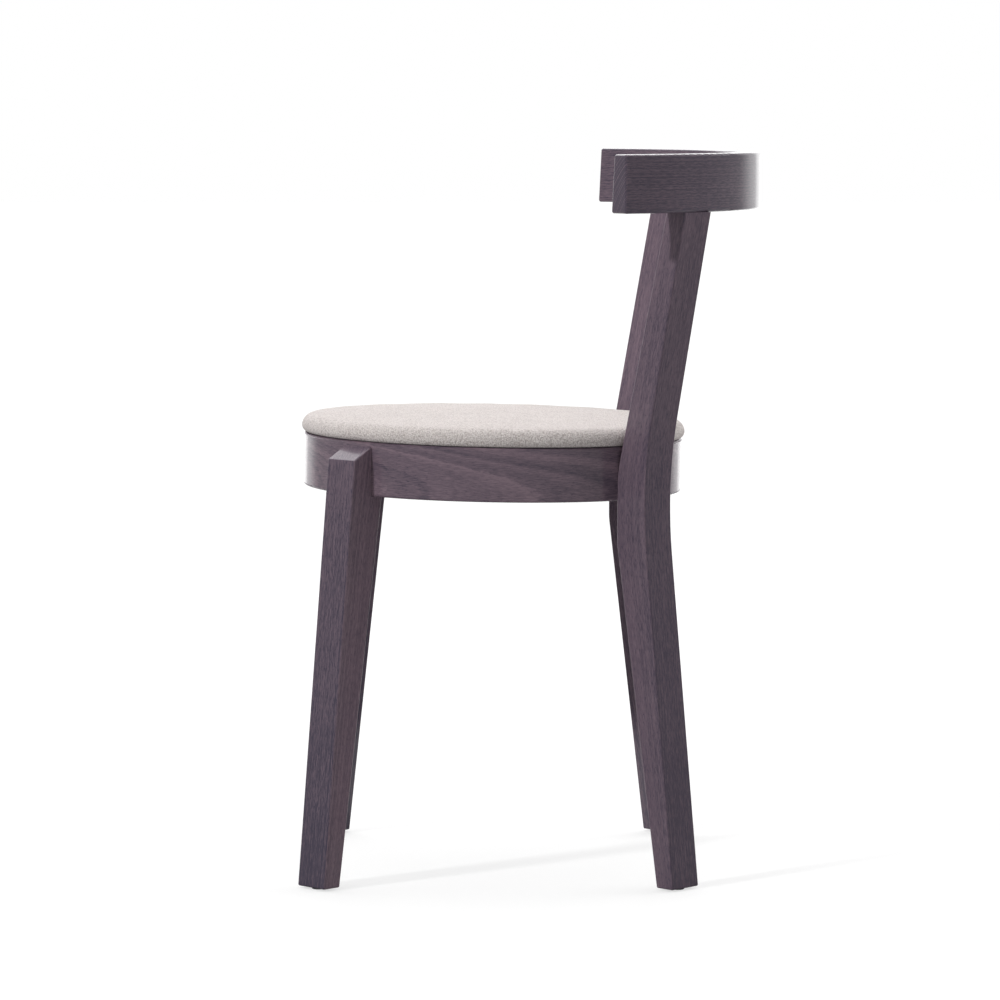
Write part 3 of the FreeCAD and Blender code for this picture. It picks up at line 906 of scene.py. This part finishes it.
lining_finish, lining_shader, felt = new_finish("lining_cloth")
lx, ly, _ = object_place(felt)
fleece = even_noise(felt, 900.0, 4.0, 0.7)
dimple = (lx * DIMPLE_RATE).sine() * (ly * DIMPLE_RATE).sine() * 0.5 + 0.5
feed(
    lining_shader,
    {
        "Base Color": felt.mixed(fleece.ramped(0.3, 0.7), LINING_DARK, LINING_LIGHT),
        "Normal": bump(felt, fleece + dimple * 0.5, 0.4, 0.0003),
    },
    {"Roughness": 0.9},
)
lining_mesh.materials.append(lining_finish)
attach(lining, "root")
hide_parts("seat_lining")
print("lining cut, m2:", round(math.pi * LINING_R ** 2, 4))

# %% [markdown]
# Zinc-plated steel is a bright grey metal with a faint grain, and the glides are moulded plastic with a
# fine matt texture.

# %% Steel and plastic
ZINC_DARK = rgb(0.50, 0.51, 0.54)
ZINC_LIGHT = rgb(0.66, 0.66, 0.66)
PLASTIC_DARK = rgb(0.030, 0.029, 0.031)
PLASTIC_LIGHT = rgb(0.055, 0.053, 0.055)

steel, steel_shader, plate = new_finish("zinced_steel")
scratch = even_noise(plate, 1400.0, 3.0, 0.6)
bloom = even_noise(plate, 160.0, 2.0)
feed(
    steel_shader,
    {
        "Base Color": plate.mixed(bloom.ramped(0.3, 0.7), ZINC_DARK, ZINC_LIGHT),
        "Roughness": 0.28 + scratch * 0.2,
        "Normal": bump(plate, scratch, 0.08, 0.0001),
    },
    {"Metallic": 1.0},
)
for node in ("seat_tee_nuts", "leg_washers", "leg_inserts"):
    paint(node, steel)

glide, glide_shader, moulded = new_finish("glide_plastic")
spark = even_noise(moulded, 2600.0, 2.0)
scuff = even_noise(moulded, 300.0, 3.0)
feed(
    glide_shader,
    {
        "Base Color": moulded.mixed(scuff.ramped(0.4, 0.7), PLASTIC_DARK, PLASTIC_LIGHT),
        "Roughness": 0.45 + scuff * 0.2,
        "Normal": bump(moulded, spark, 0.15, 0.0001),
    },
    {},
)
for end_name in ("front", "rear"):
    for side_name in ("left", "right"):
        paint(f"foot_glide_{end_name}_{side_name}", glide)
print("steel and plastic are ready")

# %% [markdown]
# Staples, screws and bolts repeat round the seat, so one Geometry Nodes tree sets a piece out on a circle.
# Each copy is turned to face the same way from the middle. The tree makes the copies real and sets their
# material, and the result is then kept as a plain mesh.

# %% A tree that repeats a piece round a circle
def circle_tree():
    """The tree, and the names of its inputs."""
    tree = bpy.data.node_groups.new("repeat_round", "GeometryNodeTree")
    face = tree.interface
    sockets = {}
    for name, kind in (
        ("Piece", "NodeSocketObject"), ("Count", "NodeSocketInt"), ("Radius", "NodeSocketFloat"),
        ("Start", "NodeSocketFloat"), ("Finish", "NodeSocketMaterial"),
    ):
        sockets[name] = face.new_socket(name, in_out="INPUT", socket_type=kind).identifier
    face.new_socket("Mesh", in_out="OUTPUT", socket_type="NodeSocketGeometry")
    build = tree.nodes.new
    join = tree.links.new
    start = build("NodeGroupInput")
    end = build("NodeGroupOutput")
    circle = build("GeometryNodeMeshCircle")
    piece = build("GeometryNodeObjectInfo")
    number = build("GeometryNodeInputIndex")
    step = build("ShaderNodeMath")
    step.operation = "DIVIDE"
    step.inputs[0].default_value = 2 * math.pi
    angle = build("ShaderNodeMath")
    angle.operation = "MULTIPLY"
    euler = build("ShaderNodeCombineXYZ")
    facing = build("FunctionNodeEulerToRotation")
    copies = build("GeometryNodeInstanceOnPoints")
    real = build("GeometryNodeRealizeInstances")
    offset = build("ShaderNodeCombineXYZ")
    turned = build("GeometryNodeTransform")
    finish = build("GeometryNodeSetMaterial")
    join(start.outputs["Count"], circle.inputs["Vertices"])
    join(start.outputs["Radius"], circle.inputs["Radius"])
    join(start.outputs["Piece"], piece.inputs["Object"])
    join(start.outputs["Count"], step.inputs[1])
    join(number.outputs[0], angle.inputs[0])
    join(step.outputs[0], angle.inputs[1])
    join(angle.outputs[0], euler.inputs["Z"])
    join(euler.outputs[0], facing.inputs[0])
    join(circle.outputs["Mesh"], copies.inputs["Points"])
    join(piece.outputs["Geometry"], copies.inputs["Instance"])
    join(facing.outputs[0], copies.inputs["Rotation"])
    join(copies.outputs[0], real.inputs[0])
    join(start.outputs["Start"], offset.inputs["Z"])
    join(real.outputs[0], turned.inputs["Geometry"])
    join(offset.outputs[0], turned.inputs["Rotation"])
    join(turned.outputs[0], finish.inputs["Geometry"])
    join(start.outputs["Finish"], finish.inputs["Material"])
    join(finish.outputs[0], end.inputs[0])
    return tree, sockets


repeat_round, round_inputs = circle_tree()


def set_round(pattern, count, radius, start, finish):
    """Copies of a mesh round the seat's middle, as one plain mesh in the seat's frame."""
    sample = bpy.data.objects.new("sample", pattern)
    scene.collection.objects.link(sample)
    carrier = bpy.data.objects.new("carrier", bpy.data.meshes.new("carrier"))
    scene.collection.objects.link(carrier)
    tree = carrier.modifiers.new("round", "NODES")
    tree.node_group = repeat_round
    values = {"Piece": sample, "Count": count, "Radius": radius, "Start": start, "Finish": finish}
    for name, value in values.items():
        tree[round_inputs[name]] = value
    bpy.context.view_layer.update()
    shaped = carrier.evaluated_get(bpy.context.evaluated_depsgraph_get())
    mesh = bpy.data.meshes.new_from_object(shaped)
    carrier.modifiers.remove(tree)
    bpy.data.objects.remove(carrier)
    bpy.data.objects.remove(sample)
    return mesh


def one_piece(name, meshes, finish, replaced):
    """Several meshes in the seat's frame, joined as one piece of the chair."""
    work = bmesh.new()
    for mesh in meshes:
        work.from_mesh(mesh)
    joined = bpy.data.meshes.new(name)
    work.to_mesh(joined)
    work.free()
    joined.transform(SEAT)
    joined.materials.clear()
    joined.materials.append(finish)
    piece = bpy.data.objects.new(name, joined)
    scene.collection.objects.link(piece)
    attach(piece, "root")
    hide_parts(replaced)
    print(name, "faces:", len(joined.polygons))


print("nodes in the tree:", len(repeat_round.nodes))

# %% [markdown]
# A staple is a flat crown with two legs. Its wire is slightly rounded, so the box that it starts from gets
# a small bevel. Twenty-four of them hold the hem.

# %% Staples
STAPLE_COUNT = 24
STAPLE_W = 0.010
STAPLE_WIRE = 0.0007
STAPLE_LEG = 0.006
STAPLE_ROUND = 0.22
HEM_W = 0.026
STAPLE_R = HEM_R + HEM_W / 3


def staple_mesh():
    """One staple about its own middle: the crown along Y under height 0, the legs upwards."""
    work = bmesh.new()
    half = STAPLE_W / 2
    wire = STAPLE_WIRE
    leg = COVER_T + STAPLE_LEG
    outline = [(-half, -wire), (half, -wire), (half, leg), (half - wire, leg), (half - wire, 0)]
    outline += [(wire - half, 0), (wire - half, leg), (-half, leg)]
    lower = [work.verts.new((-wire / 2, y, z)) for y, z in outline]
    upper = [work.verts.new((wire / 2, y, z)) for y, z in outline]
    work.faces.new(lower)
    work.faces.new(upper[::-1])
    count = len(outline)
    for i in range(count):
        after = (i + 1) % count
        work.faces.new((lower[i], lower[after], upper[after], upper[i]))
    bmesh.ops.bevel(
        work, geom=work.edges[:], offset=wire * STAPLE_ROUND, segments=1, affect="EDGES", profile=0.5,
    )
    bmesh.ops.recalc_face_normals(work, faces=work.faces[:])
    mesh = bpy.data.meshes.new("staple")
    work.to_mesh(mesh)
    work.free()
    return mesh


staples = set_round(staple_mesh(), STAPLE_COUNT, STAPLE_R, math.pi / STAPLE_COUNT, steel)
one_piece("hem_staples", [staples], steel, "cover_staples")

# %% [markdown]
# Screws and bolts are turned forms: a list of (distance along the axis, radius, kind of section). A round
# section is a circle. A hex or cross section has another radius at each angle, which sinks a driver socket
# into the head without any cutting.

# %% Turned fasteners
FASTENER_TURNS = 24
CROSS_CORE = 0.32
CROSS_SHARP = 5


def section_radius(kind, radius, angle):
    if kind == "hex":
        part = (angle % (math.pi / 3)) - math.pi / 6
        return radius * math.cos(math.pi / 6) / math.cos(part)
    if kind == "cross":
        return radius * (CROSS_CORE + (1 - CROSS_CORE) * abs(math.cos(2 * angle)) ** CROSS_SHARP)
    return radius


def fastener_mesh(name, sections, axis):
    """A closed turned form along an axis, from the first section to the last."""
    work = bmesh.new()
    rings = []
    for along, radius, kind in sections:
        ring = []
        for k in range(FASTENER_TURNS):
            angle = 2 * math.pi * k / FASTENER_TURNS
            r = section_radius(kind, radius, angle)
            ring.append(work.verts.new(ring_point(r, k, FASTENER_TURNS, along)))
        rings.append(ring)
    for ring, beyond in zip(rings, rings[1:]):
        for k in range(FASTENER_TURNS):
            after = (k + 1) % FASTENER_TURNS
            work.faces.new((ring[k], ring[after], beyond[after], beyond[k]))
    work.faces.new(rings[0])
    work.faces.new(rings[-1])
    bmesh.ops.recalc_face_normals(work, faces=work.faces[:])
    mesh = bpy.data.meshes.new(name)
    work.to_mesh(mesh)
    work.free()
    mesh.transform(Vector((0, 0, 1)).rotation_difference(axis).to_matrix().to_4x4())
    return mesh


print("turned fasteners are ready")

# %% [markdown]
# A thread shows as fine ridges on the shank. The seat screws and the leg bolts have the same metric thread.

# %% Threads
CREST_AT = 0.15
ROOT_AT = 0.60
ROOT_SHARE = 0.9
METRIC_R = 0.0030
METRIC_PITCH = 0.001
METRIC_TIP = 0.001
METRIC_TIP_R = 0.0022


def threaded(start, end, radius, pitch):
    """Sections of a shank whose ridges stand for its thread."""
    count = int((end - start) / pitch)
    sections = []
    for i in range(count):
        sections.append((start + (i + CREST_AT) * pitch, radius, "round"))
        sections.append((start + (i + ROOT_AT) * pitch, radius * ROOT_SHARE, "round"))
    return sections


def metric_shank(start, length):
    """Sections from where a metric thread starts to the tip."""
    tip = (length, METRIC_TIP_R, "round")
    return threaded(start, length - METRIC_TIP, METRIC_R, METRIC_PITCH) + [tip]


print("threads are ready")

# %% [markdown]
# Seat screws come up through the four cleats into the board. Each stands where its solid does.

# %% Seat screws
CLEAT_COUNT = 4
CLEAT_BOTTOM = -0.025
CLEAT_TO_PAD = 0.0252
SCREW_END_GAP = 0.0016
SEAT_SCREW_LENGTH = CLEAT_TO_PAD + COVER_T + BOARD_T - SCREW_END_GAP
SCREW_R = 0.161

seat_screw = [
    (-0.0016, 0.0006, "cross"), (-0.0018, 0.0024, "cross"), (-0.0040, 0.0027, "cross"),
    (-0.0040, 0.0034, "round"), (-0.0034, 0.0049, "round"), (-0.0018, 0.0055, "round"),
    (0.0, 0.0055, "round"), (0.0, 0.0030, "round"),
]
seat_screw += metric_shank(0.004, SEAT_SCREW_LENGTH)
seat_pattern = fastener_mesh("seat_screw", seat_screw, Vector((0, 0, 1)))
seat_screws = set_round(seat_pattern, CLEAT_COUNT, SCREW_R, 0.0, steel)
seat_screws.transform(Matrix.Translation((0, 0, CLEAT_BOTTOM)))
one_piece("seat_screw_set", [seat_screws], steel, "seat_screws")

# %% [markdown]
# Two wood screws with sunk heads hold each cleat to the ring.

# %% Cleat screws
RING_INSIDE = 0.180
CLEAT_R = 0.150
CLEAT_SCREW_SPAN = 0.046
CLEAT_SCREW_UP = 0.008
CLEAT_SCREW_BITE = 0.011
CLEAT_SCREW_Z = CLEAT_BOTTOM + CLEAT_SCREW_UP
WOOD_SCREW_R = 0.0020
WOOD_SCREW_PITCH = 0.0014

reach = math.sqrt(RING_INSIDE ** 2 - (CLEAT_SCREW_SPAN / 2) ** 2) - CLEAT_R + CLEAT_SCREW_BITE
cleat_screw = [
    (0.0016, 0.0005, "cross"), (0.0014, 0.0018, "cross"), (0.0, 0.0021, "cross"), (0.0, 0.0040, "round"),
    (0.0020, 0.0020, "round"), (0.012, 0.0020, "round"),
]
cleat_screw += threaded(0.013, reach - 0.003, WOOD_SCREW_R, WOOD_SCREW_PITCH)
cleat_screw.append((reach, 0.0003, "round"))
cleat_sets = []
for shift in (-CLEAT_SCREW_SPAN / 2, CLEAT_SCREW_SPAN / 2):
    pattern = fastener_mesh("cleat_screw", cleat_screw, Vector((1, 0, 0)))
    pattern.transform(Matrix.Translation((0, shift, CLEAT_SCREW_Z)))
    cleat_sets.append(set_round(pattern, CLEAT_COUNT, CLEAT_R, 0.0, steel))
one_piece("cleat_screw_set", cleat_sets, steel, "cleat_screws")

# %% [markdown]
# Two bolts with hex sockets hold each leg. Their heads sit on washers inside the ring.

# %% Leg bolts
RING_H = 0.056
RING_WALL = 0.020
BOLT_SHARES = (0.23, 0.55)
SPOT_FACE = 0.0012
WASHER_T = 0.0015
BOLT_LENGTH = 0.0313

under_head = -(RING_WALL - SPOT_FACE) - WASHER_T
bolt = [
    (-0.0020, 0.0004, "hex"), (-0.0018, 0.0021, "hex"), (-0.0045, 0.0023, "hex"),
    (-0.0045, 0.0036, "round"), (-0.0036, 0.0049, "round"), (-0.0022, 0.00525, "round"),
    (0.0, 0.00525, "round"), (0.0, 0.0030, "round"),
]
bolt += metric_shank(0.006, BOLT_LENGTH)
bolt_sets = []
for height in [RING_H * share - RING_H for share in BOLT_SHARES]:
    for end in (-1, 1):
        offset = FEET_BEHIND_SEAT * math.cos(LEG_AZIMUTH)
        face_r = math.sqrt(RING_R ** 2 - offset ** 2) - end * offset
        for side in (1, -1):
            pattern = fastener_mesh("leg_bolt", bolt, Vector((1, 0, 0)))
            pattern.transform(Matrix.Translation((face_r + under_head, 0, 0)))
            azimuth = end * LEG_AZIMUTH if side > 0 else math.pi - end * LEG_AZIMUTH
            pattern.transform(Matrix.Rotation(azimuth, 4, "Z"))
            pattern.transform(Matrix.Translation((0, FEET_BEHIND_SEAT, height)))
            bolt_sets.append(pattern)
one_piece("leg_bolt_set", bolt_sets, steel, "leg_bolts")
